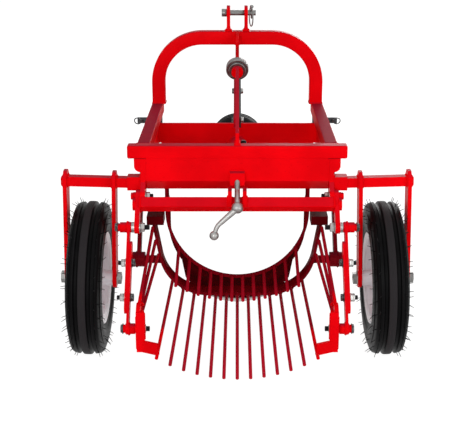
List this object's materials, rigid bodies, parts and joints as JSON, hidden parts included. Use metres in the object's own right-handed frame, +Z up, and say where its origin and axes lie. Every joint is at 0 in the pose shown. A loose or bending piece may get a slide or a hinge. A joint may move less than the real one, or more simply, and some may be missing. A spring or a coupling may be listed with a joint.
{
  "type": "sweet potato harvester",
  "caption": "Tractor-mounted root digger with mast arch, U share, swinging tine sieve and two gauge wheels on forks.",
  "frame": {"origin": "centre of the footprint box, on the floor", "axes": "+X right seen from behind, +Y forward to the tractor, +Z up"},
  "size_m": [1.0958, 1.0688, 1.005],
  "materials": {
    "red_paint": "gloss",
    "crimson_paint": "gloss",
    "worn_blade": "satin",
    "zinc_steel": "satin",
    "black_steel": "satin",
    "rim_paint": "satin",
    "tyre": "matte",
    "black_plastic": "matte"
  },
  "bodies": {
    "frame": {"adjuster_tube": "red_paint", "crank": "zinc_steel", "crank_lugs": "red_paint", "crank_nut": "red_paint", "drive_housing": "red_paint", "drive_tube": "red_paint", "front_beam": "red_paint", "gearbox": "red_paint", "left_adjuster_arm": "red_paint", "left_axle": "zinc_steel", "left_bar_socket": "red_paint", "left_fork_plates": "red_paint", "left_hitch_lug": "red_paint", "left_hitch_pin": "zinc_steel", "left_rail": "red_paint", "left_side_plate": "red_paint", "left_wheel_bar": "red_paint", "mast_arch": "red_paint", "pto_guard": "black_plastic", "rear_tube": "red_paint", "right_adjuster_arm": "red_paint", "right_axle": "zinc_steel", "right_bar_socket": "red_paint", "right_fork_plates": "red_paint", "right_hitch_lug": "red_paint", "right_hitch_pin": "zinc_steel", "right_rail": "red_paint", "right_side_plate": "red_paint", "right_wheel_bar": "red_paint", "share_blade": "worn_blade", "share_hoop": "crimson_paint", "share_tines": "crimson_paint", "stay_bar": "red_paint", "stay_boss": "red_paint", "stay_flat": "red_paint", "stay_ring": "zinc_steel", "stay_strap": "black_steel", "top_link_clevis": "red_paint", "top_pin": "zinc_steel"},
    "left_wheel": {"left_tyre": "tyre", "left_rim": "rim_paint"},
    "right_wheel": {"right_tyre": "tyre", "right_rim": "rim_paint"},
    "pto": {"pto_shaft": "zinc_steel"},
    "rockers": {"left_rocker": "red_paint", "right_rocker": "red_paint"},
    "hangers": {"left_hanger": "red_paint", "right_hanger": "red_paint"},
    "sieve": {"sieve_band": "crimson_paint", "sieve_tines": "crimson_paint", "left_sieve_side": "red_paint", "right_sieve_side": "red_paint"}
  },
  "joints": [
    {"name": "left_wheel_spin", "type": "hinge", "parent": "frame", "child": "left_wheel", "pos_m": [-0.454, -0.15758, 0.23874], "axis": [0.9996, 0, -0.0279], "continuous": true},
    {"name": "right_wheel_spin", "type": "hinge", "parent": "frame", "child": "right_wheel", "pos_m": [0.454, -0.15758, 0.23874], "axis": [0.9996, 0, 0.0279], "continuous": true},
    {"name": "pto_spin", "type": "hinge", "parent": "frame", "child": "pto", "pos_m": [0, 0.44242, 0.521], "axis": [0, 1, 0], "continuous": true},
    {"name": "rocker_swing", "type": "hinge", "parent": "frame", "child": "rockers", "pos_m": [0, -0.26258, 0.438], "axis": [1, 0, 0], "range_deg": [-3, 3]},
    {"name": "sieve_swing", "type": "hinge", "parent": "rockers", "child": "sieve", "pos_m": [0, -0.45758, 0.198], "axis": [1, 0, 0], "range_deg": [-3, 3]},
    {"name": "hanger_swing", "type": "hinge", "parent": "frame", "child": "hangers", "pos_m": [0, 0.01242, 0.548], "axis": [1, 0, 0], "range_deg": [-3, 3]}
  ],
  "couplings": [
    {"joint": "sieve_swing", "follows": "rocker_swing", "ratio": -1},
    {"joint": "hanger_swing", "follows": "rocker_swing", "ratio": 1}
  ]
}
